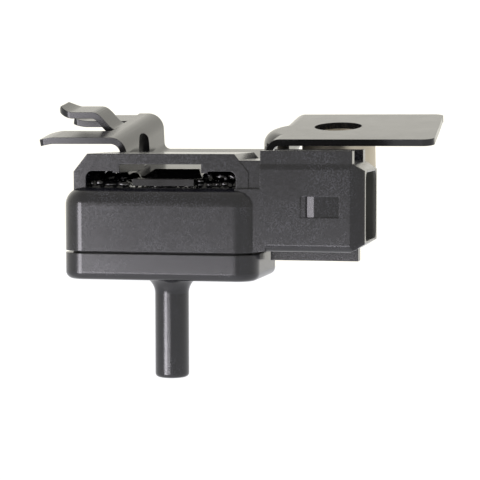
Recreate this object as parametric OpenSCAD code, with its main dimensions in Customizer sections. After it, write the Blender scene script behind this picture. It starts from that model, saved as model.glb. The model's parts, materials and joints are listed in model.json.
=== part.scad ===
// Manifold absolute pressure sensor on its sheet-steel bracket.
// +X points to the plug socket, +Y to the back of the sensor, +Z up.
// The origin is on the pressure port's axis, where the straight wall begins above its rounded end.

/* [Pressure port] */
// Length of the port below the cover, without its rounded end
port_l = 17.3; // [14:0.1:24]
// Outside diameter of the port, for a 5.5 to 6 mm hose
port_d = 6; // [5:0.1:7]
// Diameter of the bore through the port
port_bore = 2.8; // [2:0.1:3.2]
// Radius of the hollow where the port meets the cover
port_root_r = 3; // [1.2:0.1:3.2]
// Radius of the rounded end of the port
port_tip_r = 0.7; // [0.3:0.1:1]

/* [Sensor body] */
// Width of the body and of its cover
body_w = 34.6; // [33:0.2:38]
// Depth of the body, front to back
body_d = 21; // [20:0.5:26]
// Height of the body above the seam
body_h = 10.9; // [10.5:0.1:13]
// Radius of the upright corners
corner_r = 3.9; // [3.1:0.1:4]
// Radius of the rounded top edge
top_r = 3; // [2:0.1:3]
// Thickness of the outer walls
wall = 2.2; // [1.8:0.1:2.6]

/* [Cover] */
// Height of the cover below the seam
cover_h = 4.6; // [4:0.1:6]
// Thickness of the cover's floor
cover_floor = 2; // [1.5:0.1:2.4]
// Radius of the cover's bottom edge
cover_r = 1.3; // [0.6:0.1:1.6]
// Open height of the seam between body and cover
seam_gap = 0.4; // [0.2:0.05:0.6]
// How far the sealing bead lies in from the outside
seam_inset = 1.3; // [0.8:0.1:1.5]
// Height of the cover's spigot above the seam
spigot_h = 1.6; // [1:0.1:2]
// Thickness of the spigot's wall
spigot_t = 1.1; // [0.8:0.1:1.4]

/* [Bracket socket] */
// Width of the raised socket on top of the body
socket_w = 31.2; // [30:0.2:32.4]
// Height of the socket above the body
socket_h = 5.9; // [5.6:0.1:7]
// Setback of the socket's front face from the body's front
socket_front = 2.7; // [2.5:0.1:3.2]
// Setback of the socket's back face from the body's back
socket_back = 2; // [1.6:0.1:2.6]
// Width of the socket's corner chamfers
socket_cham_x = 2.5; // [1.5:0.1:2.8]
// Height of the socket's corner chamfers
socket_cham_z = 3.1; // [2:0.1:3.4]
// Width of the slot through the socket
slot_w = 26.8; // [26:0.2:27.6]
// Height of the slot at its sides
slot_h = 2.9; // [2.7:0.1:3.3]
// Radius of the slot's upper corners
slot_r = 1.2; // [0.6:0.1:1.6]
// Width of the taller middle of the slot
slot_mid_w = 14.6; // [13.6:0.2:16]
// Extra height of the slot's middle
slot_mid_h = 1.2; // [1:0.1:1.5]

/* [Plug socket] */
// Length of the plug socket up to its taper
plug_l = 15.5; // [15:0.1:18]
// Depth of the plug socket, front to back
plug_d = 17.4; // [16.4:0.2:18]
// Height of the plug socket
plug_h = 15.2; // [14.8:0.2:17]
// Length of the taper at the mouth
taper_l = 2.3; // [1.5:0.1:3]
// How far the taper goes in on each side
taper_in = 1.4; // [1:0.1:1.6]
// Thickness of the mouth's rim at the front and back
rim_t = 1.2; // [0.9:0.1:1.5]
// Thickness of the mouth's lip at the top and bottom
lip_t = 0.3; // [0.2:0.1:1.2]
// Depth of the cavity from the mouth
cavity_l = 15; // [13:0.5:16]
// Height of the rails and the rib outside the plug socket
rail_h = 2; // [1:0.1:2.1]
// Thickness of the rails and the rib
rail_t = 2.4; // [1.2:0.1:2.6]
// Width of the neck between the body and the plug socket
neck_w = 0.5; // [0.4:0.1:1.5]

/* [Bracket] */
// Thickness of the bracket's sheet steel
sheet_t = 1.2; // [1:0.05:1.3]
// Upward slope of the bracket behind the sensor, in degrees
bracket_tilt = 9.5; // [6:0.5:11]
// Depth of the bracket's strip
strip_d = 27; // [25:0.5:32]
// Rise of the bolt flange above the strip
flange_rise = 6.8; // [6.2:0.1:9]
// Length of the bolt flange from its riser
flange_l = 29; // [27:0.5:34]
// Inside radius of the bends
bend_r = 1.2; // [0.8:0.1:1.4]
// Diameter of the bolt hole
hole_d = 8.8; // [8.4:0.1:9.4]
// Distance of the bolt hole from the riser
hole_x = 9.8; // [9.4:0.2:14]
// Width of the tongue in the socket
tongue_w = 11; // [10:0.2:12]
// Rise of the clip's ear above the strip
ear_rise = 7.1; // [6.6:0.1:8]
// Inside radius of the ear's bend
ear_bend_r = 1.8; // [1.2:0.1:2]
// Length of the clip's prongs from the ear
prong_l = 11.8; // [10:0.2:14]
// Width of each prong
prong_w = 7; // [6:0.2:7.6]
// Height of the middle prong above the other two
prong_step = 3.2; // [2.6:0.1:5]

/* [Spacer] */
// Outside diameter of the spacer under the bolt hole
spacer_d = 13.6; // [10.6:0.1:14]
// Length of the spacer
spacer_l = 8; // [5:0.5:10]

/* [Electronics] */
// Thickness of the circuit board
board_t = 1; // [0.8:0.1:1.2]
// Width of each terminal
terminal_w = 2; // [1.6:0.1:2.4]
// Thickness of each terminal
terminal_t = 0.8; // [0.6:0.1:1]
// Distance between terminals
terminal_pitch = 3.5; // [3.2:0.1:3.7]
// Diameter of the pressure cell's header
header_d = 7.6; // [7:0.1:8]
// Diameter of the pressure cell's tube
tube_d = 3; // [2.6:0.1:3.2]

/* [Hidden] */
$fn = 64;

// Overshoot of cutting shapes, so that no cut ends on a face
cut = 1;

// Heights of the main faces
cover_z0 = port_l;
cover_z1 = cover_z0 + cover_h;
body_z0 = cover_z1 + seam_gap;
body_z1 = body_z0 + body_h;
socket_z1 = body_z1 + socket_h;
body_front = -body_d / 2;
body_back = body_d / 2;
body_right = body_w / 2;
inner_r = corner_r - wall;

// Pressure chamber under the partition, and the electronics well above it
spigot_clear = 0.1;
chamber_h = 3.6;
partition_t = 1.6;
partition_z0 = body_z0 + chamber_h;
well_z0 = partition_z0 + partition_t;
well_w = slot_w - 1.6;
sill_d = 1.7;
well_d = body_d - 2 * (wall + sill_d);
ledge_h = 0.8;
board_clear = 0.3;
board_z0 = well_z0 + ledge_h;
board_z1 = board_z0 + board_t;
board_w = well_w - 2 * board_clear;
board_d = well_d - 2 * board_clear;
ledge_w = 1.6;

// Slot through the socket, and the tongue that lies in it
socket_y0 = body_front + socket_front;
socket_y1 = body_back - socket_back;
tongue_gap = 0.3;
tongue_z0 = body_z1 + tongue_gap;
tongue_z1 = tongue_z0 + sheet_t;
tongue_x = 0.25;
tongue_setback = 1;
tongue_y0 = socket_y0 + tongue_setback;
strip_clear = 0.2;
strip_y0 = socket_y1 + strip_clear + (socket_z1 - tongue_z1) * tan(bracket_tilt);
lip_w = 1.2;
lip_h = 0.3;

// Snap nib on the socket's sill, and the hole in the tongue that it enters
nib_w = 3;
nib_d = 1.2;
nib_h = 1;
nib_y0 = tongue_y0 + 1.4;
nib_clear = 0.3;
post_w = nib_w + 2;
post_y1 = nib_y0 + nib_d + 0.5;

// Hump pressed into the whole width of the tongue, with four sloping sides
hump_h = 1.5;
hump_setback = 6.1;
hump_y0 = tongue_y0 + hump_setback;
hump_y1 = socket_y1;
hump_side = 1.5;
hump_ramp = 3.6;
hump_back = 2;

// Compound piled up beside the tongue
pile_h = 1.5;
pile_clear = 0.4;

// Plug socket
plug_x0 = body_right + neck_w;
plug_x1 = plug_x0 + plug_l;
mouth_x = plug_x1 + taper_l;
plug_lift = 0.2;
plug_z0 = body_z0 + plug_lift;
plug_z1 = plug_z0 + plug_h;
plug_zc = (plug_z0 + plug_z1) / 2;
plug_shift = -0.2;
plug_y0 = plug_shift - plug_d / 2;
plug_y1 = plug_shift + plug_d / 2;
plug_edge_r = 1.2;
cavity_d = plug_d - 2 * (taper_in + rim_t);
cavity_h = plug_h - 2 * (taper_in + lip_t);
cavity_r = 1.4;
cavity_x0 = mouth_x - cavity_l;
rail_front = 0.4;
rail_back = 2;
rail_over = 0.3;
rib_setback = 0.4;
lock_l = 4;
lock_h = 1.4;
lock_w = 7;
lock_setback = 7.5;
lock_x0 = plug_x1 - lock_setback;
neck_low_h = body_h - 0.2;
neck_step = 1.2;
neck_drop = 1.1;

// Latch recess in the front of the plug socket
recess_setback = 7;
recess_x0 = plug_x0 + recess_setback;
recess_lip = 0.15;
recess_land = 0.9;
recess_step = 0.5;
recess_slope = 1.4;
recess_l = 6.6;
recess_depth = 0.7;
recess_h = 3.6;
recess_lift = 5.9;

// Terminals run at mid-height of the cavity, from the board to near the mouth
terminal_z0 = plug_zc - terminal_t / 2;
terminal_reach = 3.6;
terminal_x0 = well_w / 2 - terminal_reach;
terminal_tip = 4;
terminal_x1 = mouth_x - terminal_tip;
terminal_leg = 1;
terminal_names = ["supply_terminal", "signal_terminal", "ground_terminal"];
leg_clear = 0.1;
leg_drop = 0.4;
joint_margin = 0.4;

// Pressure cell: header and tube, glass pedestal, die and cap
cell_x = -5.5;
header_t = 0.9;
header_z1 = board_z1 + header_t;
tube_z0 = partition_z0 - 1.2;
tube_bore = 1.2;
tube_clear = 0.1;
ring_t = 0.7;
ring_z = well_z0 - ring_t / 2 - 0.1;
ring_seat_t = 0.9;
boss_wall = 2;
boss_d = tube_d + 2 * boss_wall;
boss_h = 0.8;
pedestal_w = 3;
pedestal_t = 0.5;
die_w = 2;
die_t = 0.3;
cap_d = header_d - 1.4;
cap_t = 0.3;
cap_h = 1.3;

// Parts on the board, placed from its middle and its edges
edge_margin = 0.4;
chip_size = [5, 4, 1.1];
chip_at = [2.4, 0];
capacitor_size = [2, 1.25, 0.9];
capacitor_pitch = 2.9;
capacitor_y = (board_d - capacitor_size[1]) / 2 - edge_margin;
capacitors = [for (i = [-1:1]) [chip_at[0] + i * capacitor_pitch, capacitor_y]];
resistor_size = [1.6, 0.8, 0.5];
resistor_x = -(board_w - resistor_size[0]) / 2 + edge_margin;
resistor_y = (board_d - resistor_size[1]) / 2 - edge_margin;
resistors = [[resistor_x, resistor_y], [resistor_x, -resistor_y]];

// Filter disc at the top of the port's bore
filter_d = 4.4;
filter_t = 1.2;

// Plain rectangle centred on x and y, standing on z
module block(w, d, h, x = 0, y = 0, z = 0) {
    translate([x - w / 2, y - d / 2, z]) cube([w, d, h]);
}

// Rectangle with rounded corners, made of true arcs
module round_rect(w, d, r) {
    square([w, d - 2 * r], center = true);
    square([w - 2 * r, d], center = true);
    for (sx = [-1, 1], sy = [-1, 1])
        translate([sx * (w / 2 - r), sy * (d / 2 - r)]) circle(r);
}

// Slab with rounded upright corners and one rounded rim at its top
module rimmed_slab(w, d, h, r, f) {
    for (sx = [-1, 1], sy = [-1, 1])
        translate([sx * (w / 2 - r), sy * (d / 2 - r), 0]) rotate_extrude() {
            square([r, h - f]);
            square([r - f, h]);
            translate([r - f, h - f]) intersection() {
                circle(f);
                square(f);
            }
        }
    block(w - 2 * r, d, h - f);
    block(w, d - 2 * r, h - f);
    block(w - 2 * r, d - 2 * f, h);
    block(w - 2 * f, d - 2 * r, h);
    for (s = [-1, 1]) {
        translate([-w / 2 + r, s * (d / 2 - f), h - f]) rotate([0, 90, 0]) cylinder(r = f, h = w - 2 * r);
        translate([s * (w / 2 - f), -d / 2 + r, h - f]) rotate([-90, 0, 0]) cylinder(r = f, h = d - 2 * r);
    }
}

// Shape drawn in x and z, drawn out along +Y from y0 to y1
module along_y(y0, y1) {
    translate([0, y1, 0]) rotate([90, 0, 0]) linear_extrude(y1 - y0) children();
}

// Shape drawn in y and z, drawn out along +X from x0 to x1
module along_x(x0, x1) {
    translate([x0, 0, 0]) rotate([90, 0, 90]) linear_extrude(x1 - x0) children();
}

// Front outline of the socket, with its two chamfered corners
module socket_outline() {
    polygon([[-socket_w / 2, body_z1 - top_r], [socket_w / 2, body_z1 - top_r],
        [socket_w / 2, socket_z1 - socket_cham_z], [socket_w / 2 - socket_cham_x, socket_z1],
        [-socket_w / 2 + socket_cham_x, socket_z1], [-socket_w / 2, socket_z1 - socket_cham_z]]);
}

// Outline of the slot: wide and low, with a taller middle between two small lips
module slot_outline() {
    difference() {
        union() {
            translate([-slot_w / 2, body_z1]) square([slot_w, slot_h - slot_r]);
            translate([-slot_w / 2 + slot_r, body_z1]) square([slot_w - 2 * slot_r, slot_h]);
            for (s = [-1, 1]) translate([s * (slot_w / 2 - slot_r), body_z1 + slot_h - slot_r])
                circle(slot_r);
        }
        for (s = [-1, 1]) translate([s * (slot_mid_w / 2 + lip_w / 2) - lip_w / 2,
            body_z1 + slot_h - lip_h])
            square([lip_w, lip_h + cut]);
        translate([-slot_w / 2, body_z1 - slot_r * 2]) square([slot_w, slot_r * 2]);
    }
    translate([-slot_mid_w / 2, body_z1]) square([slot_mid_w, slot_h + slot_mid_h]);
}

// Outside of the plug socket, with a taper all round its mouth
module plug_block() {
    difference() {
        along_x(plug_x0, mouth_x) translate([plug_shift, plug_zc]) round_rect(plug_d, plug_h, plug_edge_r);
        for (s = [-1, 1]) translate([plug_x1, plug_shift + s * plug_d / 2, plug_z0 - cut])
            linear_extrude(plug_h + 2 * cut)
                polygon([[0, 0], [taper_l, -s * taper_in], [taper_l + cut, -s * taper_in],
                    [taper_l + cut, s * cut], [0, s * cut]]);
        for (s = [-1, 1]) along_y(plug_y0 - cut, plug_y1 + cut)
            translate([plug_x1, plug_zc + s * plug_h / 2])
                polygon([[0, 0], [taper_l, -s * taper_in], [taper_l + cut, -s * taper_in],
                    [taper_l + cut, s * cut], [0, s * cut]]);
    }
}

// Rails, rib and lock ramp that guide and hold the plug
module plug_guides() {
    rail_x1 = plug_x1 + rail_over;
    rib_x0 = plug_x0 + rib_setback;
    for (y = [plug_y0 + rail_front, plug_y1 - rail_back - rail_t])
        translate([plug_x0, y, plug_z1 - cut]) cube([rail_x1 - plug_x0, rail_t, rail_h + cut]);
    translate([rib_x0, plug_shift - rail_t / 2, plug_z0 - rail_h])
        cube([rail_x1 - rib_x0, rail_t, rail_h + cut]);
    along_y(plug_shift - lock_w / 2, plug_shift + lock_w / 2) translate([lock_x0, plug_z1])
        polygon([[0, -cut], [lock_l, -cut], [lock_l, 0], [0, lock_h]]);
}

// Recess in the front wall: a shallow land, a short ramp out and a long ramp in
module latch_recess() {
    translate([recess_x0, plug_y0, plug_z0 + recess_lift]) linear_extrude(recess_h)
        polygon([[0, -cut], [0, recess_lip], [recess_land, recess_lip], [recess_land, recess_step],
            [recess_land + recess_slope, recess_lip], [recess_l, recess_depth], [recess_l, -cut]]);
}

module neck() {
    x0 = body_right - corner_r;
    x1 = plug_x0 + cut;
    translate([x0, plug_y0, plug_z0]) cube([x1 - x0, plug_d, neck_low_h]);
    translate([x0, plug_y0 + neck_step, plug_z0 + neck_low_h - cut])
        cube([x1 - x0, plug_d - neck_step, socket_z1 - neck_drop - plug_z0 - neck_low_h + cut]);
}

module cell_boss() {
    translate([cell_x, 0, partition_z0 - boss_h]) cylinder(d = boss_d, h = boss_h + partition_t);
}

module housing() {
    color("#3a3a3d") difference() {
        union() {
            difference() {
                union() {
                    translate([0, 0, body_z0]) rimmed_slab(body_w, body_d, body_h, corner_r, top_r);
                    neck();
                }
                // Pressure chamber
                translate([0, 0, body_z0 - cut]) linear_extrude(chamber_h + cut)
                    round_rect(body_w - 2 * wall, body_d - 2 * wall, inner_r);
            }
            along_y(socket_y0, socket_y1) socket_outline();
            plug_block();
            plug_guides();
            cell_boss();
        }
        along_y(socket_y0 - cut, socket_y1 + cut) slot_outline();
        electronics_well();
        along_x(cavity_x0, mouth_x + cut) translate([plug_shift, plug_zc]) round_rect(cavity_d,
            cavity_h, cavity_r);
        latch_recess();
        for (i = [0:2]) terminal_slot(i);
        // Passage and seal seat for the pressure cell's tube
        translate([cell_x, 0, partition_z0 - boss_h - cut])
            cylinder(d = tube_d + 2 * tube_clear, h = boss_h + partition_t + 2 * cut);
        translate([cell_x, 0, well_z0 - ring_seat_t]) cylinder(d = tube_d + 2 * ring_t,
            h = ring_seat_t + cut);
    }
    color("#3a3a3d") sill_nib();
}

// Well for the board, with a ledge along its ends and a post for the nib at its front
module electronics_well() {
    difference() {
        block(well_w, well_d, body_z1 + cut - well_z0, 0, 0, well_z0);
        for (s = [-1, 1])
            block(ledge_w, well_d + cut, ledge_h, s * (well_w - ledge_w) / 2, 0, well_z0);
        nib_post(0, body_z1 - well_z0 + 2 * cut);
    }
}

// Post at the front wall of the well, or the notch that clears it
module nib_post(clear, h) {
    w = post_w + 2 * clear;
    d = post_y1 + clear + well_d / 2 + cut;
    block(w, d, h, tongue_x, post_y1 + clear - d / 2, well_z0 - cut);
}

// Nib with a ramp, on top of the post
module sill_nib() {
    translate([tongue_x - nib_w / 2, nib_y0, body_z1]) rotate([90, 0, 90]) linear_extrude(nib_w)
        polygon([[0, -cut], [nib_d, -cut], [nib_d, 0.2], [0, nib_h]]);
}

module terminal_slot(i) {
    translate([well_w / 2 - cut, terminal_y(i) - terminal_w / 2, terminal_z0])
        cube([cavity_x0 - well_w / 2 + 2 * cut, terminal_w, terminal_t]);
}

function terminal_y(i) = (i - 1) * terminal_pitch + plug_shift;

// Port, with a hollow root and a rounded open end
module port_outline() {
    translate([0, -port_tip_r]) square([port_d / 2 - port_tip_r, port_l + port_tip_r]);
    square([port_d / 2, port_l]);
    translate([port_d / 2 - port_tip_r, 0]) circle(port_tip_r);
    difference() {
        translate([0, port_l - port_root_r]) square([port_d / 2 + port_root_r, port_root_r]);
        translate([port_d / 2 + port_root_r, port_l - port_root_r]) circle(port_root_r);
    }
}

module port_cover() {
    spigot_w = body_w - 2 * wall - 2 * spigot_clear;
    spigot_d = body_d - 2 * wall - 2 * spigot_clear;
    spigot_r = inner_r - spigot_clear;
    hollow_z = cover_z0 + cover_floor;
    color("#404043") difference() {
        union() {
            translate([0, 0, cover_z1]) mirror([0, 0, 1]) rimmed_slab(body_w, body_d, cover_h,
                corner_r, cover_r);
            translate([0, 0, cover_z1 - cut]) linear_extrude(cut + seam_gap + spigot_h)
                round_rect(spigot_w, spigot_d, spigot_r);
            rotate_extrude() intersection() {
                port_outline();
                translate([0, -port_tip_r]) square([port_d, port_l + port_tip_r + cut]);
            }
        }
        translate([0, 0, hollow_z]) linear_extrude(cover_z1 + seam_gap + spigot_h + cut - hollow_z)
            square([spigot_w - 2 * spigot_t, spigot_d - 2 * spigot_t], center = true);
        translate([0, 0, -port_tip_r - cut]) cylinder(d = port_bore, h = port_tip_r + hollow_z + 2 * cut);
        translate([0, 0, hollow_z - filter_t]) cylinder(d = filter_d, h = filter_t + cut);
    }
}

module sealing_bead() {
    color("#1f1f21") translate([0, 0, cover_z1]) linear_extrude(seam_gap) difference() {
        round_rect(body_w - 2 * seam_inset, body_d - 2 * seam_inset, corner_r - seam_inset);
        round_rect(body_w - 2 * wall - 2 * spigot_clear, body_d - 2 * wall - 2 * spigot_clear,
            inner_r - spigot_clear);
    }
}

module port_filter() {
    color("#b08d57") translate([0, 0, cover_z0 + cover_floor - filter_t])
        cylinder(d = filter_d, h = filter_t);
}

// Places a shape in the bracket's own frame: y along the slope, z up from the sheet's top face
module on_slope() {
    translate([0, strip_y0, tongue_z1]) rotate([bracket_tilt, 0, 0]) children();
}

// Quarter ring of a bend, in the quadrant that sx and sz give
module bend(r, sx, sz) {
    intersection() {
        difference() {
            circle(r + sheet_t);
            circle(r);
        }
        quadrant(r + sheet_t, sx, sz);
    }
}

module quadrant(size, sx, sz) {
    translate([sx > 0 ? 0 : -size, sz > 0 ? 0 : -size]) square(size);
}

riser_r = 15.3;
riser_l = -10.8;
flange_x0 = riser_r + sheet_t + bend_r;
flange_x1 = riser_r + flange_l + sheet_t;
ear_x1 = riser_l - sheet_t - ear_bend_r;
ear_w = 1.8;
ear_x0 = ear_x1 - ear_w;
hole_px = riser_r + sheet_t + hole_x;
hole_py = strip_d / 2;

// Hat section of the strip, from the clip's ear to the start of the flange
module strip_section() {
    translate([riser_l + bend_r, -sheet_t]) square([riser_r - riser_l - 2 * bend_r, sheet_t]);
    translate([riser_r - bend_r, bend_r]) bend(bend_r, 1, -1);
    translate([riser_r, bend_r]) square([sheet_t, flange_rise - sheet_t - 2 * bend_r]);
    translate([flange_x0, flange_rise - sheet_t - bend_r]) bend(bend_r, -1, 1);
    translate([riser_l + bend_r, bend_r]) bend(bend_r, -1, -1);
    translate([riser_l - sheet_t, bend_r]) square([sheet_t, ear_rise - sheet_t - bend_r - ear_bend_r]);
    translate([ear_x1, ear_rise - sheet_t - ear_bend_r]) bend(ear_bend_r, 1, 1);
    translate([ear_x0, ear_rise - sheet_t]) square([ear_w, sheet_t]);
}

// Flange from above: its free edge runs in towards the back, and has rounded corners
flange_corner_r = 2;
flange_taper = 1;
module flange_outline() {
    w = flange_x1 - flange_x0;
    r = flange_corner_r;
    edge_l = norm([flange_taper, strip_d]);
    // Distance of each corner's centre from the slanting edge is one radius
    function edge_x(y) = w - flange_taper * y / strip_d - r * edge_l / strip_d;
    polygon([[0, 0], [edge_x(r), 0], [edge_x(r), r], [edge_x(strip_d - r), strip_d - r],
        [edge_x(strip_d - r), strip_d], [0, strip_d]]);
    intersection() {
        polygon([[0, r], [w, r], [w - flange_taper, strip_d - r], [0, strip_d - r]]);
        polygon([[0, 0], [w, 0], [w - flange_taper, strip_d], [0, strip_d]]);
    }
    for (y = [r, strip_d - r]) translate([edge_x(y), y]) circle(r);
}

// Open path in x and z, thickened to the sheet by its normals
function step_of(path, i) = path[min(i + 1, len(path) - 1)] - path[max(i - 1, 0)];
function normal_of(path, i) = let (s = step_of(path, i)) [-s[1], s[0]] / norm(s);
function side_of(path, offset) = [for (i = [0:len(path) - 1]) path[i] + offset * normal_of(path, i)];
function backwards(list) = [for (i = [len(list) - 1:-1:0]) list[i]];
module sheet_along(path) {
    polygon(concat(side_of(path, sheet_t / 2), backwards(side_of(path, -sheet_t / 2))));
}

// Path of a prong's middle: a smooth step up, a straight run and a bent tip
tip_l = 2.6;
tip_points = 5;
step_run = 4.2;
step_points = 12;
prong_mid = ear_rise - sheet_t / 2;
function rise_at(t) = (1 - cos(180 * t)) / 2;
function prong_path(l, step, tip) = concat(
    [[ear_x0 + 0.1, prong_mid]],
    step > 0 ? [for (i = [0:step_points]) [ear_x0 - step_run * i / step_points,
        prong_mid + step * rise_at(i / step_points)]] : [],
    [for (i = [0:tip_points]) [ear_x0 - l + tip_l * (1 - i / tip_points),
        prong_mid + step + tip * pow(i / tip_points, 1.5)]]);

// A prong, with its two tip corners rounded as seen from above
prong_tip_r = 1.2;
middle_tip_r = 2.6;
prong_short = 0.9;
front_drop = 0.5;
middle_lift = 1.1;
rear_lift = 0.55;
module prong(y0, l, step, tip, r) {
    difference() {
        along_y(y0, y0 + prong_w) sheet_along(prong_path(l, step, tip));
        for (s = [0, 1]) translate([ear_x0 - l - sheet_t / 4, y0 + s * prong_w, 0]) mirror([0, s, 0])
            linear_extrude(ear_rise + prong_step + 4 * sheet_t) difference() {
                translate([-cut, -cut]) square(r + cut);
                translate([r, r]) circle(r);
            }
    }
}

// Pressed bead that stiffens the left riser, domed at its top
bead_depth = 1.4;
bead_chord = 7.4;
bead_in_r = (pow(bead_chord / 2, 2) + pow(bead_depth, 2)) / (2 * bead_depth);
bead_y = 12;
bead_z1 = 2.6;
module riser_bead(r) {
    translate([riser_l + bead_in_r - bead_depth, bead_y, bend_r]) {
        cylinder(r = r, h = bead_z1 - bend_r);
        translate([0, 0, bead_z1 - bend_r]) rotate_extrude() intersection() {
            circle(r);
            square(r);
        }
    }
}

// Space on the hollow side of the ear, under its outer face
module ear_inside() {
    reach = 2 * bead_in_r;
    bend_z = ear_rise - sheet_t - ear_bend_r;
    translate([riser_l - reach, 0]) square([reach, bend_z]);
    translate([ear_x1, bend_z]) circle(ear_bend_r + sheet_t);
    translate([riser_l - reach, 0]) square([ear_x1 - riser_l + reach, ear_rise]);
}

// Wide upright flute that stiffens the right riser, and runs out into the flange
flute_depth = 2.2;
flute_chord = 12;
flute_y = 10;
flute_r = (pow(flute_chord / 2, 2) + pow(flute_depth, 2)) / (2 * flute_depth);
module flute(r, edge_r, h, below = 0) {
    translate([riser_r - flute_depth + flute_r, flute_y, -sheet_t - below]) rotate_extrude() {
        square([r - edge_r, h + sheet_t + below]);
        square([r, h + sheet_t + below - edge_r]);
        translate([r - edge_r, h + sheet_t + below - edge_r]) intersection() {
            circle(edge_r);
            square(edge_r);
        }
    }
}
module flute_wall() {
    intersection() {
        flute(flute_r, bend_r + sheet_t, flange_rise);
        union() {
            translate([riser_r - flute_r, 0, -sheet_t]) cube([flute_r + sheet_t, strip_d,
                flange_rise + sheet_t]);
            translate([riser_r, 0, flange_rise - sheet_t]) cube([flange_x0 - riser_r, strip_d, sheet_t]);
        }
    }
}

// Hump, or the hollow under it, which lies lower by the sheet's thickness
module hump(drop) {
    z0 = tongue_z1 - drop;
    z1 = z0 + hump_h;
    intersection() {
        translate([tongue_x, 0, 0]) along_y(hump_y0, hump_y1)
            polygon([[-tongue_w / 2, z0 - sheet_t], [-tongue_w / 2, z0], [-tongue_w / 2 + hump_side, z1],
                [tongue_w / 2 - hump_side, z1], [tongue_w / 2, z0], [tongue_w / 2, z0 - sheet_t]]);
        along_x(tongue_x - tongue_w / 2, tongue_x + tongue_w / 2)
            polygon([[hump_y0, z0 - sheet_t], [hump_y0, z0], [hump_y0 + hump_ramp, z1],
                [hump_y1 - hump_back, z1], [hump_y1, z0], [hump_y1, z0 - sheet_t]]);
    }
}

module tongue() {
    back = strip_y0 + sheet_t * tan(bracket_tilt);
    difference() {
        union() {
            block(tongue_w, back - tongue_y0, sheet_t, tongue_x, (back + tongue_y0) / 2, tongue_z0);
            hump(0);
        }
        hump(sheet_t);
        block(nib_w + 2 * nib_clear, nib_d + 2 * nib_clear, sheet_t + 2 * cut,
            tongue_x, nib_y0 + nib_d / 2, tongue_z0 - cut);
    }
}

rear_shoulder = 2;
rear_prong_y = strip_d - prong_w - rear_shoulder;
middle_prong_y = rear_prong_y / 2;

module bracket() {
    color("#6f6f70") {
        tongue();
        on_slope() difference() {
            union() {
                along_y(0, strip_d) strip_section();
                intersection() {
                    riser_bead(bead_in_r + sheet_t);
                    along_y(0, strip_d) ear_inside();
                }
                translate([flange_x0, 0, flange_rise - sheet_t]) linear_extrude(sheet_t) flange_outline();
                prong(0, prong_l, 0, -front_drop, prong_tip_r);
                prong(middle_prong_y, prong_l - prong_short, prong_step, middle_lift, middle_tip_r);
                prong(rear_prong_y, prong_l - prong_short, 0, rear_lift, prong_tip_r);
                flute_wall();
            }
            riser_bead(bead_in_r);
            flute(flute_r - sheet_t, bend_r, flange_rise - sheet_t, cut);
            translate([hole_px, hole_py, flange_rise - sheet_t - cut]) cylinder(d = hole_d,
                h = sheet_t + 2 * cut);
        }
    }
}

module flange_spacer() {
    color("#8a8a88") on_slope() translate([hole_px, hole_py, flange_rise - sheet_t - spacer_l])
        difference() {
        cylinder(d = spacer_d, h = spacer_l);
        translate([0, 0, -cut]) cylinder(d = hole_d, h = spacer_l + 2 * cut);
    }
}

// Compound that fills the well above the board, and is piled up at both sides of the tongue
module potting_fill() {
    color("#0c0c0e") difference() {
        union() {
            block(well_w, well_d, body_z1 - board_z1, 0, 0, board_z1);
            for (s = [-1, 1]) pile(s);
        }
        nib_post(0, body_z1 - well_z0 + 2 * cut);
        translate([cell_x, 0, board_z1 - cut]) cylinder(d = header_d, h = header_t + cut);
        translate([cell_x, 0, header_z1 - cut]) cylinder(d = cap_d, h = cap_h + cut);
        signal_chip();
        for (i = [0:2]) capacitor(i);
        for (i = [0:1]) trim_resistor(i);
        for (i = [0:2]) terminal(i);
    }
}

module pile(s) {
    x0 = tongue_x + s * (tongue_w / 2 + pile_clear);
    x1 = s * slot_w / 2;
    block(abs(x1 - x0), well_d, pile_h, (x0 + x1) / 2, 0, body_z1);
}

module circuit_board() {
    color("#2f5a3c") difference() {
        block(board_w, board_d, board_t, 0, 0, board_z0);
        nib_post(board_clear, board_z1 - well_z0 + 2 * cut);
        translate([cell_x, 0, board_z0 - cut]) cylinder(d = tube_d + 2 * tube_clear, h = board_t + 2 * cut);
        for (i = [0:2]) terminal_leg_block(i, leg_clear);
    }
}

// Header disc of the pressure cell, with its tube
module cell_header() {
    color("#b9a36a") translate([cell_x, 0, 0]) difference() {
        union() {
            translate([0, 0, board_z1]) cylinder(d = header_d, h = header_t);
            translate([0, 0, tube_z0]) cylinder(d = tube_d, h = board_z1 - tube_z0 + header_t / 2);
        }
        translate([0, 0, tube_z0 - cut]) cylinder(d = tube_bore, h = header_z1 - tube_z0 + 2 * cut);
    }
}

module cell_pedestal() {
    color("#cfd8d8") difference() {
        block(pedestal_w, pedestal_w, pedestal_t, cell_x, 0, header_z1);
        translate([cell_x, 0, header_z1 - cut]) cylinder(d = tube_bore, h = pedestal_t + 2 * cut);
    }
}

module sensing_die() {
    color("#6d7480") block(die_w, die_w, die_t, cell_x, 0, header_z1 + pedestal_t);
}

module cell_cap() {
    color("#b9bcc0") translate([cell_x, 0, header_z1]) difference() {
        cylinder(d = cap_d, h = cap_h);
        translate([0, 0, -cut]) cylinder(d = cap_d - 2 * cap_t, h = cap_h - cap_t + cut);
    }
}

module cell_o_ring() {
    color("#1b1b1c") translate([cell_x, 0, ring_z]) rotate_extrude()
        translate([(tube_d + ring_t) / 2, 0]) circle(d = ring_t);
}

module signal_chip() {
    color("#1c1c1e") block(chip_size[0], chip_size[1], chip_size[2], chip_at[0], chip_at[1], board_z1);
}

module capacitor(i) {
    color("#b8a07a")
        block(capacitor_size[0], capacitor_size[1], capacitor_size[2], capacitors[i][0],
            capacitors[i][1], board_z1);
}

module trim_resistor(i) {
    color("#26262a")
        block(resistor_size[0], resistor_size[1], resistor_size[2], resistors[i][0], resistors[i][1],
            board_z1);
}

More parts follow.
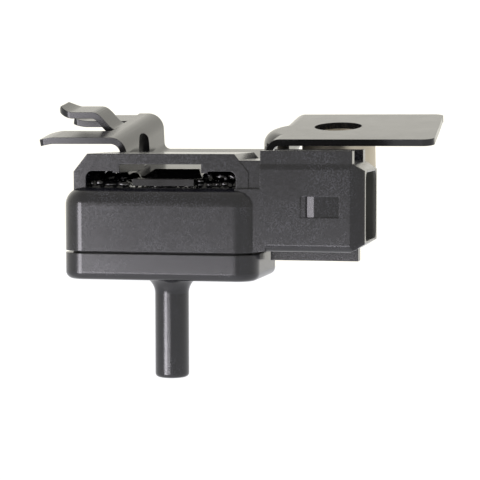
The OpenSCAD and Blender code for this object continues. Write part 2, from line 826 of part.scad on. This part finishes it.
// Leg of a terminal, down through the board
module terminal_leg_block(i, clear) {
    translate([terminal_x0 - clear, terminal_y(i) - terminal_leg / 2 - clear, board_z0 - leg_drop])
        cube([terminal_t + 2 * clear, terminal_leg + 2 * clear,
            terminal_z0 + terminal_t / 2 - board_z0 + leg_drop]);
}

// Flat blade with a chamfered tip, and its leg
module terminal(i) {
    tip_in = terminal_w / 5;
    color("#c8b070") {
        translate([0, terminal_y(i), terminal_z0]) linear_extrude(terminal_t)
            polygon([[terminal_x0, -terminal_w / 2], [terminal_x1 - 2 * tip_in, -terminal_w / 2],
                [terminal_x1, -terminal_w / 2 + tip_in], [terminal_x1, terminal_w / 2 - tip_in],
                [terminal_x1 - 2 * tip_in, terminal_w / 2], [terminal_x0, terminal_w / 2]]);
        terminal_leg_block(i, 0);
    }
}

// Solder under the board, round a terminal's leg
module solder_joint(i) {
    r = norm([terminal_t, terminal_leg]) / 2 + joint_margin;
    color("#c9ccd0") difference() {
        translate([terminal_x0 + terminal_t / 2, terminal_y(i), board_z0 - leg_drop]) cylinder(r = r,
            h = leg_drop);
        translate([terminal_x0, terminal_y(i) - terminal_leg / 2, board_z0 - leg_drop - cut])
            cube([terminal_t, terminal_leg, leg_drop + 2 * cut]);
    }
}

housing();
port_cover();
sealing_bead();
port_filter();
bracket();
flange_spacer();
potting_fill();
circuit_board();
cell_header();
cell_pedestal();
sensing_die();
cell_cap();
cell_o_ring();
signal_chip();
for (i = [0:2]) {
    capacitor(i);
    terminal(i);
    solder_joint(i);
}
for (i = [0:1]) {
    trim_resistor(i);
}
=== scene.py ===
# %% [markdown]
# # A pressure sensor from an engine, seen from the front
# The sensor is a black moulded housing on a cover with a hose port. A pressed-steel bracket
# clips into a socket on top, and a plug socket points to the right. All sizes are in metres.
# The exact CAD parts come first, and the looks are added round them without moving any.

# %% Open the measured parts
import json
import math
import bpy
from mathutils import Matrix, Vector, noise


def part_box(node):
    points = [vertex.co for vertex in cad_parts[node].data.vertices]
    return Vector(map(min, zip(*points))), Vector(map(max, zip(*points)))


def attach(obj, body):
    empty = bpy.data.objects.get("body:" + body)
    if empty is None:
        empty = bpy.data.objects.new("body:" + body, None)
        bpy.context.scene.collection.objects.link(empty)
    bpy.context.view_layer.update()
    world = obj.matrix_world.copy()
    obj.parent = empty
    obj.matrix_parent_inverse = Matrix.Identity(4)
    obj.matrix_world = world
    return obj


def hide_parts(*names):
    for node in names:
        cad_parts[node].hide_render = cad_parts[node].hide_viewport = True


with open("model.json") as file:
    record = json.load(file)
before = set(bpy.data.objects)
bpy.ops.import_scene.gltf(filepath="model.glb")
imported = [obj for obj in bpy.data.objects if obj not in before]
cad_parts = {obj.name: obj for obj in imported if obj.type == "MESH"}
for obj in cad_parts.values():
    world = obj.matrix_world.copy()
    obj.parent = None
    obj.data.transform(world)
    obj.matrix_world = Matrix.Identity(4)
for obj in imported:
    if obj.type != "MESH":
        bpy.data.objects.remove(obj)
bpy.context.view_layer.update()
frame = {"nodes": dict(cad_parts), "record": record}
parts = frame["nodes"]
print(len(parts), "CAD parts loaded")

# %% [markdown]
# ## Small tools
# Colours on the part are read as sRGB hex, while the renderer works in linear light,
# so one function converts them. Node materials grow long, so one function adds any node.
# Sizes on a small part are easier to read in millimetres, so MM turns them to metres.

# %% Tools for colours and node materials
MM = 0.001


def linear(code):
    """sRGB hex such as 'a0a0a0' to linear red, green, blue, alpha."""
    out = []
    for i in (0, 2, 4):
        c = int(code[i:i + 2], 16) / 255
        out.append(c / 12.92 if c <= 0.04045 else ((c + 0.055) / 1.055) ** 2.4)
    return (*out, 1.0)


def add(tree, kind, links=None, values=None, **settings):
    """Adds one node. links maps an input to (node, output), values an input to a number or colour."""
    n = tree.nodes.new("ShaderNode" + kind)
    for key, value in settings.items():
        setattr(n, key, value)
    for key, value in (values or {}).items():
        n.inputs[key].default_value = value
    for key, (source, output) in (links or {}).items():
        tree.links.new(source.outputs[output], n.inputs[key])
    return n


def per_mm(size):
    """Noise scale whose features are about size millimetres wide."""
    return 1.0 / (size * MM)


print("black plastic #0b0b0f in linear light:", [round(v, 4) for v in linear("0b0b0f")])

# %% [markdown]
# ## Soft edges
# Edges of a moulding are never sharp, and their small round catches the light. Cutting that
# round into the mesh would change the measured part, so the Bevel node rounds only the
# shading there, by a real radius. The mouth of the plug socket has a wider lead-in, so the
# radius may also grow from one place to another along the length of the part.

# %% Rounded shading at the edges
def soft_edges(t, place, edge, mouth):
    """Normal rounded by edge mm. mouth is (from x, to x, radius there), in mm, or None."""
    soft = add(t, "Bevel", values={"Radius": edge * MM}, samples=6)
    if mouth:
        start, end, radius = mouth
        along = add(t, "SeparateXYZ", {0: (place, "Object")})
        wide = add(t, "MapRange", {"Value": (along, "X")},
                   {"From Min": start * MM, "From Max": end * MM,
                    "To Min": edge * MM, "To Max": radius * MM})
        t.links.new(wide.outputs[0], soft.inputs["Radius"])
    return soft


print("soft edges ready")

# %% [markdown]
# ## Fibres, and painted light in the plug socket
# The plastic is filled with short glass fibres. Where they lie close under the skin they show
# as pale specks, thicker in some places than in others. Two noises make them: one for the
# specks and one, much wider, for the patches. Light that falls in through the mouth of the
# plug socket is painted into its hollow: a box in the part's own space gives that skin a paler colour.

# %% Specks of fibre, and painted light in the hollow
# Places of the colours on Blender's Mix node, whose inputs share their names
MIX_A, MIX_B, MIX_OUT = 6, 7, 2
PATCH_PER_SPECK = 25


def fibre_specks(t, space, skin_colour, size, code):
    """Mixes specks of size mm and the colour code into the skin's colour."""
    dots = add(t, "TexNoise", {"Vector": (space, 0)},
               {"Scale": per_mm(size), "Detail": 3.0, "Roughness": 0.7})
    dots = add(t, "MapRange", {"Value": (dots, 0)}, {"From Min": 0.48, "From Max": 0.76})
    patch = add(t, "TexNoise", {"Vector": (space, 0)},
                {"Scale": per_mm(size * PATCH_PER_SPECK), "Detail": 3.0})
    patch = add(t, "MapRange", {"Value": (patch, 0)},
                {"From Min": 0.4, "From Max": 0.65, "To Min": 0.3, "To Max": 1.0})
    share = add(t, "Math", {0: (dots, 0), 1: (patch, 0)}, operation="MULTIPLY")
    return add(t, "Mix", {"Factor": (share, 0), MIX_A: (skin_colour, MIX_OUT)},
               {MIX_B: linear(code)}, data_type="RGBA")


def paint_light_in_hollow(t, place, skin_colour, middle, half, code):
    """Paints light into a box, given by its middle and half sizes in mm: the box takes the colour
    code.
    """
    reach = add(t, "VectorMath", {0: (place, "Object")}, {1: [v * MM for v in middle]},
                operation="SUBTRACT")
    reach = add(t, "VectorMath", {0: (reach, 0)}, operation="ABSOLUTE")
    reach = add(t, "VectorMath", {0: (reach, 0)}, {1: [v * MM for v in half]},
                operation="SUBTRACT")
    reach = add(t, "SeparateXYZ", {0: (reach, 0)})
    far = add(t, "Math", {0: (reach, 0), 1: (reach, 1)}, operation="MAXIMUM")
    far = add(t, "Math", {0: (far, 0), 1: (reach, 2)}, operation="MAXIMUM")
    painted_light_mask = add(t, "Math", {0: (far, 0)}, {1: 0.0}, operation="LESS_THAN")
    return add(t, "Mix", {"Factor": (painted_light_mask, 0), MIX_A: (skin_colour, MIX_OUT)},
               {MIX_B: linear(code)}, data_type="RGBA")


print("patches of fibre are", PATCH_PER_SPECK, "times as wide as a speck")

# %% [markdown]
# ## One recipe for every surface
# Moulded, coated and bare surfaces differ in numbers more than in kind: a colour, a gloss, a
# fine relief from the tool, slow clouds where the skin is a little duller, and soft edges. One
# function makes them all, and each finish below only says what is special about it.

# %% The recipe
def finish(name, colour, rough, ior=1.5, metal=0.0, grain=0.1, depth=0.004, cloud=2.0,
           rough_spread=0.08, colour_spread=0.15, edge=0.15, stretch=(1, 1, 1),
           mouth=None, hollow=None, specks=None, **extra):
    """A finish with relief of grain mm and depth mm, clouds of cloud mm and edges of edge mm.

    mouth, specks and hollow hold the last values of the three functions above, or None.
    hollow puts a paler colour into a box, as painted light.
    stretch squeezes the patterns along each axis, and extra sets more inputs of the shader.
    """
    m = bpy.data.materials.new(name)
    m.use_nodes = True
    t = m.node_tree
    t.nodes.clear()
    place = add(t, "TexCoord")
    space = add(t, "Mapping", {"Vector": (place, "Object")}, {"Scale": stretch})
    clouds = add(t, "TexNoise", {"Vector": (space, 0)},
                 {"Scale": per_mm(cloud), "Detail": 6.0, "Roughness": 0.6})
    dull = add(t, "MapRange", {"Value": (clouds, 0)},
               {"From Min": 0.3, "From Max": 0.7,
                "To Min": rough - rough_spread, "To Max": rough + rough_spread})
    base = linear(colour)[:3]
    darker = [v * (1 - colour_spread) for v in base]
    lighter = [min(1.0, v * (1 + colour_spread)) for v in base]
    tone = add(t, "Mix", {"Factor": (clouds, 0)},
               {MIX_A: [*darker, 1.0], MIX_B: [*lighter, 1.0]}, data_type="RGBA")
    if specks:
        tone = fibre_specks(t, space, tone, *specks)
    # Painted light: the plug socket's hollow gets a paler colour for the light coming in through its
    # mouth
    if hollow:
        tone = paint_light_in_hollow(t, place, tone, *hollow)
    relief = add(t, "TexNoise", {"Vector": (space, 0)},
                 {"Scale": per_mm(grain), "Detail": 3.0, "Roughness": 0.6})
    links = {"Height": (relief, 0)}
    if edge:
        links["Normal"] = (soft_edges(t, place, edge, mouth), 0)
    bump = add(t, "Bump", links, {"Strength": 1.0, "Distance": depth * MM})
    values = {"Metallic": metal, **extra}
    if not metal:
        values["IOR"] = ior
    skin = add(t, "BsdfPrincipled",
               {"Base Color": (tone, MIX_OUT), "Roughness": (dull, 0), "Normal": (bump, 0)}, values)
    t.links.new(skin.outputs[0], add(t, "OutputMaterial").inputs["Surface"])
    return m


FINISHES = {}
print("recipe ready")

# %% [markdown]
# ## The two mouldings, the bead and the compound
# Housing and cover are glass-filled polyester from a spark-eroded mould. Its real grain of
# about 0.05 mm is too fine for this picture, so it is drawn 0.24 mm wide. Black plastic
# returns hardly any light of its own: what shows is the lamp and the tent in its half gloss.

# %% Plastics
# The lead-in of the plug socket: its round grows over these x, to this radius
PLUG_LEAD_IN = (34.2, 34.8, 0.9)
# Painted light in the hollow of the plug socket: middle, half sizes and the paler colour of its skin,
# which stands in for light coming in through the mouth
PLUG_HOLLOW_PAINTED_LIGHT = ((28.1, -0.2, 30.1), (7.4, 6.15, 5.95), "474743")

# Half-gloss black with a fine grain, pale fibre specks, and painted light in the plug socket's hollow
FINISHES["housing_plastic"] = finish(
    "polyester, glass-filled, spark-eroded mould", "0b0b0f", 0.19, 1.55,
    grain=0.24, depth=0.0045, cloud=0.4, rough_spread=0.03, edge=0.18,
    specks=(0.22, "414147"), mouth=PLUG_LEAD_IN, hollow=PLUG_HOLLOW_PAINTED_LIGHT)
# The same plastic with fewer specks and rounder edges, so its lights are wider
FINISHES["cover_plastic"] = finish(
    "polyester, glass-filled, polished mould", "0b0b0f", 0.22, 1.55,
    grain=0.24, depth=0.0055, cloud=0.4, rough_spread=0.03, edge=0.25,
    specks=(0.22, "343439"))
# Dull and rubbery in the seam
FINISHES["bead_rubber"] = finish("silicone bead, cured", "101010", 0.45, 1.41, grain=0.3, cloud=3)
# Black glass to the eye, with small hard glints
FINISHES["potting_resin"] = finish(
    "epoxy, poured and cured", "040405", 0.06, 1.53,
    grain=0.5, depth=0.01, cloud=3, rough_spread=0.03, edge=0)
print(len(FINISHES), "plastics")

# %% [markdown]
# ## Steel sheet and spacer
# The bracket was dipped in an electric paint bath after pressing. The film is smooth and black,
# so it mirrors the bright back of the tent as grey. The spacer is turned and zinc plated: the
# patterns are stretched round it, as the marks of a lathe are.

# %% Metals outside
# A smooth black film that turns grey at a low angle; its waves are a thousandth of a millimetre deep
FINISHES["bracket_coating"] = finish(
    "steel sheet, cathodic dip coat", "101011", 0.18, 1.46,
    grain=0.25, depth=0.001, cloud=5, rough_spread=0.03, edge=0.15)
# Warm, pale and satin, with fine rings from the tool
FINISHES["spacer_steel"] = finish(
    "steel, turned and zinc plated", "b9b1a0", 0.42, metal=1.0,
    grain=0.15, depth=0.004, stretch=(0.2, 0.2, 3))
# Brown-gold and grainy, as pressed powder is
FINISHES["filter_bronze"] = finish(
    "bronze, sintered", "8a6a3c", 0.6, metal=1.0, grain=0.12, depth=0.03)
# Pale straw with marks along the strip, seen deep in the plug socket
FINISHES["terminal_brass"] = finish(
    "brass strip, tinned", "b7ab8e", 0.3, metal=1.0, edge=0.08, stretch=(0.3, 1, 1))
print(len(FINISHES), "finishes so far")

# %% [markdown]
# ## Pieces inside the sensor
# The board, the pressure cell and their small parts are hidden by the shells, but they are
# there in the file for anyone who opens it. Each starts from the usual values of its material.

# %% Finishes of the pieces inside
# Green and even
FINISHES["board_laminate"] = finish("glass-epoxy board, solder mask", "1f4a2e", 0.35, 1.5, cloud=1.5)
# Yellow metal with a soft shine
FINISHES["header_brass"] = finish("brass header, plated", "c8ad6c", 0.3, metal=1.0, edge=0.1)
# Nearly clear, a little milky where it was ground
FINISHES["pedestal_glass"] = finish(
    "borosilicate glass, ground", "dfe8e8", 0.15, 1.47, edge=0.05, **{"Transmission Weight": 0.9})
# A dark grey mirror
FINISHES["die_silicon"] = finish(
    "silicon, polished", "6d727d", 0.12, metal=1.0, grain=0.5, depth=0.0005, edge=0.02)
# Bright grey, a little streaky
FINISHES["cap_steel"] = finish("stainless steel, drawn", "b9b9ba", 0.28, metal=1.0)
# Dull black
FINISHES["ring_rubber"] = finish("nitrile rubber, moulded", "131313", 0.55, 1.52, edge=0)
# Matt black
FINISHES["chip_moulding"] = finish("epoxy, transfer moulded", "151516", 0.5, 1.55, edge=0.05)
# Tan and chalky
FINISHES["capacitor_ceramic"] = finish("barium titanate ceramic, fired", "8f7350", 0.4, 1.6, edge=0.05)
# Black glaze
FINISHES["resistor_film"] = finish("thick film on alumina, glazed", "17171a", 0.25, 1.5, edge=0.05)
# Bright silver
FINISHES["solder"] = finish("tin solder, reflowed", "c4c6ca", 0.22, metal=1.0, edge=0.05)
print(len(FINISHES), "finishes")

# %% [markdown]
# ## Dress the CAD parts
# Each part takes the finish of its material slot. The spacer is one exception: its slot is the
# bracket's, but its side shows bright plated steel, so it gets that finish by hand.

# %% Give each part its finish
slots = {p["node"]: p["material_slot"] for p in frame["record"]["subparts"]}
for name, part in parts.items():
    part.data.materials.clear()
    part.data.materials.append(FINISHES[slots[name]])
parts["flange_spacer"].data.materials[0] = FINISHES["spacer_steel"]
print("dressed:", ", ".join(sorted(parts)))

# %% [markdown]
# ## Potting compound
# The electronics are drowned in black epoxy, poured in through the slot. It wets the walls
# and the steel tongue, so it climbs at the edges, and it set in lumps beside the tongue.
# A height for every spot on a fine grid gives this wavy, glossy skin. The CAD part keeps
# the simple shape for weight and collision, and the skin stays inside its box.

# %% How high the compound stands, in millimetres
low, high = [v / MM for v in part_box("potting_fill")]
tongue_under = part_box("bracket")[0].z / MM
# Height where it lies flat, and the two ends of the tongue along x
LEVEL = 33.2
GAP_LEFT, GAP_RIGHT = -5.65, 6.15
# Beside the tongue it rises by PILE over a bank this wide, and under it a gap stays free
BANK = 1.3
PILE = 1.1
UNDER_TONGUE = 0.06


def ramp(v, a, b):
    """0 below a, 1 above b, smooth between."""
    v = min(1.0, max(0.0, (v - a) / (b - a)))
    return v * v * (3 - 2 * v)


def ripple(x, y, size, seed):
    """Smooth noise whose bumps are about size wide."""
    return noise.noise(Vector((x / size, y / size, seed)))


def skin_height(x, y):
    """Height of the compound: flat under the tongue, piled up in lumps on both sides of it."""
    wave = ripple(x, y, 1.9, 3.0)
    knob = ripple(x, y, 0.75, 8.0)
    drop = ripple(x, y, 0.34, 5.0)
    beside = max(ramp(-x, -GAP_LEFT, -GAP_LEFT + BANK), ramp(x, GAP_RIGHT, GAP_RIGHT + BANK))
    front = low.y + 0.3 + 0.3 * noise.noise(Vector((x / 0.8, 2.0, 6.0)))
    beside *= 0.15 + 0.85 * ramp(y, front - 0.25, front + 0.35)
    rise = LEVEL - 0.02 + 0.05 * knob + 0.09 * drop * ramp(-y, 4.2, 5.6)
    rise += beside * (PILE + 0.42 * wave + 0.26 * knob + 0.07 * drop)
    ceiling = tongue_under - UNDER_TONGUE if GAP_LEFT < x < GAP_RIGHT else high.z
    return min(ceiling, max(LEVEL - 0.1, rise))


print("compound between z", round(low.z, 2), "and", round(high.z, 2), "mm")

# %% [markdown]
# The skin needs an underside too, so that it is one closed solid. A second sheet lies below
# the first: deep in the well, and thin on the ledges beside it. The rims are then joined.

# %% Skin of the compound as one closed mesh
# Small cells show the drops, and these are still light enough to export
CELLS_X, CELLS_Y = 216, 106
WELL_HALF = 12.6
LEDGE_DEPTH = 0.15
xs = [low.x + (high.x - low.x) * i / CELLS_X for i in range(CELLS_X + 1)]
ys = [low.y + (high.y - low.y) * j / CELLS_Y for j in range(CELLS_Y + 1)]
top = [Vector((x, y, skin_height(x, y))) * MM for y in ys for x in xs]
# The highest spot touches the top of the CAD part's box
peak = max(range(len(top)), key=lambda k: top[k].z)
top[peak].z = high.z * MM
under = [Vector((x, y, low.z if abs(x) <= WELL_HALF else LEVEL - LEDGE_DEPTH)) * MM
         for y in ys for x in xs]
row, count = CELLS_X + 1, len(top)
faces = [(j * row + i, j * row + i + 1, (j + 1) * row + i + 1, (j + 1) * row + i)
         for j in range(CELLS_Y) for i in range(CELLS_X)]
faces += [tuple(k + count for k in reversed(f)) for f in faces]
rim = list(range(CELLS_X))
rim += [j * row + CELLS_X for j in range(CELLS_Y)]
rim += [CELLS_Y * row + i for i in range(CELLS_X, 0, -1)]
rim += [j * row for j in range(CELLS_Y, 0, -1)]
for here, after in zip(rim, rim[1:] + rim[:1]):
    faces.append((here, here + count, after + count, after))


def compound_piece(name, points, faces):
    """A visual piece of potting compound that rides with the sensor."""
    mesh = bpy.data.meshes.new(name)
    mesh.from_pydata(points, [], faces)
    mesh.shade_smooth()
    piece = bpy.data.objects.new(name, mesh)
    bpy.context.scene.collection.objects.link(piece)
    piece.data.materials.append(FINISHES["potting_resin"])
    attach(piece, "root")
    return piece


potting = compound_piece("potting_skin", top + under, faces)
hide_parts("potting_fill")
print("potting skin:", len(faces), "faces of", round((high.x - low.x) / CELLS_X, 3), "by",
      round((high.y - low.y) / CELLS_Y, 3), "mm")

# %% [markdown]
# ## Beads and runs
# The compound also ran in lumps: small beads hang along the front of the slot, where each
# mirrors the lamps as a white glint, and thick runs climb to the roof of the slot behind.
# A height grid can't overhang, so each lump is its own closed, slightly uneven ellipsoid.

# %% Beads and runs of compound, in millimetres
# Beads: x, z and the half sizes along x, y and z
BEADS = [(-12.7, 33.9, 0.45, 0.4, 0.6), (-11.4, 34.0, 0.8, 0.4, 0.65), (-9.4, 33.7, 1.3, 0.5, 0.45),
         (-6.9, 33.75, 1.2, 0.28, 0.5), (-4.6, 33.4, 0.35, 0.35, 0.16), (-3.5, 33.38, 0.3, 0.3, 0.14),
         (-1.9, 33.36, 0.4, 0.4, 0.13), (-0.6, 33.34, 0.3, 0.3, 0.12), (0.9, 33.36, 0.45, 0.45, 0.13),
         (2.4, 33.38, 0.3, 0.3, 0.15), (3.3, 33.4, 0.4, 0.4, 0.16), (4.9, 33.42, 0.35, 0.35, 0.18),
         (6.8, 33.75, 0.7, 0.35, 0.3), (6.8, 34.4, 0.7, 0.35, 0.35), (8.4, 33.75, 0.7, 0.4, 0.45),
         (9.8, 33.8, 0.6, 0.45, 0.5), (11.1, 33.9, 0.7, 0.35, 0.5), (11.3, 34.9, 0.4, 0.35, 0.6)]
# Runs: x, y, z and the half sizes along x, y and z
RUNS = [(-12.3, 3.8, 34.3, 1.5, 1.2, 1.72), (-10.3, 4.3, 34.3, 1.7, 1.1, 1.7),
        (-8.1, 4.6, 34.1, 1.5, 1.0, 1.5), (6.0, 4.6, 34.4, 1.4, 1.0, 1.8),
        (8.3, 4.0, 34.6, 1.9, 1.1, 1.7), (10.6, 3.6, 34.6, 1.9, 1.2, 1.7),
        (12.2, 3.2, 34.5, 1.3, 1.2, 1.6)]
BEAD_SET_BACK = 0.02
BEAD_UNEVEN, RUN_UNEVEN = 0.15, 0.2
# Facets round a lump and from its foot to its top
AROUND, TALL = 28, 16


def lump(x, y, z, rx, ry, rz, uneven, points, faces):
    """Adds a slightly uneven ellipsoid, in millimetres, to points and faces."""
    start = len(points)
    for j in range(TALL + 1):
        for i in range(AROUND):
            a, b = 2 * math.pi * i / AROUND, math.pi * j / TALL
            out = Vector((math.cos(a) * math.sin(b), math.sin(a) * math.sin(b), math.cos(b)))
            size = 1 - uneven * (0.5 + 0.5 * noise.noise(out * 1.6 + Vector((x, y, z))))
            points.append(Vector((x + rx * out.x * size, y + ry * out.y * size,
                                  z + rz * out.z * size)) * MM)
    for j in range(TALL):
        for i in range(AROUND):
            k = (i + 1) % AROUND
            faces.append((start + j * AROUND + i, start + (j + 1) * AROUND + i,
                          start + (j + 1) * AROUND + k, start + j * AROUND + k))


points, faces = [], []
for x, z, rx, ry, rz in BEADS:
    lump(x, low.y + ry + BEAD_SET_BACK, z, rx, ry, rz, BEAD_UNEVEN, points, faces)
for run in RUNS:
    lump(*run, RUN_UNEVEN, points, faces)
lumps = compound_piece("potting_lumps", points, faces)
weld = lumps.modifiers.new("weld the poles", "WELD")
weld.merge_threshold = 0.002 * MM
print("lumps:", len(BEADS) + len(RUNS))

# %% [markdown]
# ## Light tent
# The part lies in a white tent: pale all round, over a pale floor, with two soft lamps at the
# front left. Black plastic shows little of its own colour, so what it mirrors makes its form.
# The floor lies well below, since the part floats in white, and only softens the shadows.

# %% Floor
# Depth below the part, and the width of the sheet in metres
FLOOR_Z = -330 * MM
FLOOR_SIZE = 8
bpy.ops.mesh.primitive_plane_add(size=FLOOR_SIZE, location=(0, 0, FLOOR_Z))
floor = bpy.context.object
floor.name = "tent_floor"
floor_look = bpy.data.materials.new("paper, matt white")
floor_look.use_nodes = True
ft = floor_look.node_tree
ft.nodes.clear()
paper = add(ft, "BsdfDiffuse", values={"Color": linear("fbfbf9")})
ft.links.new(paper.outputs[0], add(ft, "OutputMaterial").inputs["Surface"])
floor.data.materials.append(floor_look)
print("floor at", FLOOR_Z)

# %% [markdown]
# A flat upright face mirrors only a thin band of the tent. A wide, low lamp fills that band and
# greys the faces evenly. A tall, narrow strip farther left stays mostly out of it: the rounded
# corners and the port turn far enough to mirror it, and they show it as long bright lines.

# %% Two soft lamps
AIM = Vector((5, 0, 26)) * MM
LAMP_WHITE = "fbf7ff"


def soft_lamp(name, azimuth, elevation, distance, width, height, radiance):
    """A lamp that faces AIM. azimuth counts from -Y to +X; radiance is what a mirror would show."""
    a, e = math.radians(azimuth), math.radians(elevation)
    away = Vector((math.sin(a) * math.cos(e), -math.cos(a) * math.cos(e), math.sin(e)))
    data = bpy.data.lights.new(name, "AREA")
    data.shape = "RECTANGLE"
    data.size = width
    data.size_y = height
    data.energy = radiance * math.pi * width * height
    data.color = linear(LAMP_WHITE)[:3]
    lamp = bpy.data.objects.new(name, data)
    lamp.location = AIM + away * distance
    lamp.rotation_euler = (-away).to_track_quat("-Z", "Y").to_euler()
    bpy.context.scene.collection.objects.link(lamp)
    print(name, "gives", round(data.energy, 2), "W")


soft_lamp("lamp_low", azimuth=-22, elevation=-10.8, distance=0.61,
          width=0.48, height=0.026, radiance=17.8)
soft_lamp("lamp_strip", azimuth=-29.5, elevation=-4, distance=0.6,
          width=0.15, height=0.4, radiance=8.6)

# %% [markdown]
# The cloth of the tent is the world. It is brighter behind the part than in front of it, and a
# little brighter at the left, which gives the black film and the plastic their greys. The
# camera itself sees plain white, and what the cloth sheds on matt surfaces is one even value.

# %% Cloth of the tent
WHITE_TO_CAMERA = 1.18
FRONT, BACK, LEFT_MORE = 0.64, 1.18, 0.4
SHED = 1.12
world = bpy.data.worlds.new("tent")
bpy.context.scene.world = world
world.use_nodes = True
wt = world.node_tree
wt.nodes.clear()
ray = add(wt, "LightPath")
seen = add(wt, "Math", {0: (ray, "Is Camera Ray"), 1: (ray, "Is Glossy Ray")}, operation="MAXIMUM")
seen = add(wt, "Math", {0: (seen, 0), 1: (ray, "Is Transmission Ray")}, operation="MAXIMUM")
away = add(wt, "SeparateXYZ", {0: (add(wt, "TexCoord"), "Generated")})
behind = add(wt, "MapRange", {"Value": (away, "Y")},
             {"From Min": -0.1, "From Max": 0.7, "To Min": FRONT, "To Max": BACK},
             interpolation_type="SMOOTHSTEP")
left = add(wt, "MapRange", {"Value": (away, "X")},
           {"From Min": -1.0, "From Max": -0.3, "To Min": LEFT_MORE, "To Max": 0.0},
           interpolation_type="SMOOTHSTEP")
level = add(wt, "Math", {0: (behind, 0), 1: (left, 0)}, operation="ADD")
plain = add(wt, "Math", {0: (ray, "Is Camera Ray")}, {1: WHITE_TO_CAMERA}, operation="MULTIPLY")
level = add(wt, "Math", {0: (level, 0), 1: (plain, 0)}, operation="MAXIMUM")
cloth_shed = add(wt, "Background", values={"Color": linear("fbfbff"), "Strength": SHED})
cloth_seen = add(wt, "Background", {"Strength": (level, 0)}, {"Color": linear("fffcf2")})
mix = add(wt, "MixShader", {0: (seen, 0), 1: (cloth_shed, 0), 2: (cloth_seen, 0)})
wt.links.new(mix.outputs[0], add(wt, "OutputWorld").inputs["Surface"])
print("tent from", FRONT, "in front to", BACK, "behind")

# %% [markdown]
# ## Camera
# The camera stands level with the sensor, 12 degrees round to the right of its front and
# looking down by 4 degrees. A long lens keeps the upright edges parallel. Its three
# directions were fitted to the outlines of the real part, so they are given as they are.

# %% Camera
CAMERA_PLACE = Vector((78.656, -299.248, 45.486)) * MM
view = bpy.data.cameras.new("camera")
view.sensor_width = 36
view.lens = 131.0
view.clip_start = 0.01
view.clip_end = 20
eye = bpy.data.objects.new("camera", view)
right = Vector((0.97637984, 0.21605357, -0.0018057))
up = Vector((-0.01346735, 0.0691979, 0.99751205))
ahead = Vector((-0.21564098, 0.97392634, -0.0704731))
turn = Matrix((right, up, -ahead)).transposed().to_4x4()
eye.matrix_world = Matrix.Translation(CAMERA_PLACE) @ turn
bpy.context.scene.collection.objects.link(eye)
bpy.context.scene.camera = eye
bpy.context.scene.view_settings.view_transform = "Standard"
print("camera at", [round(v, 4) for v in eye.location])
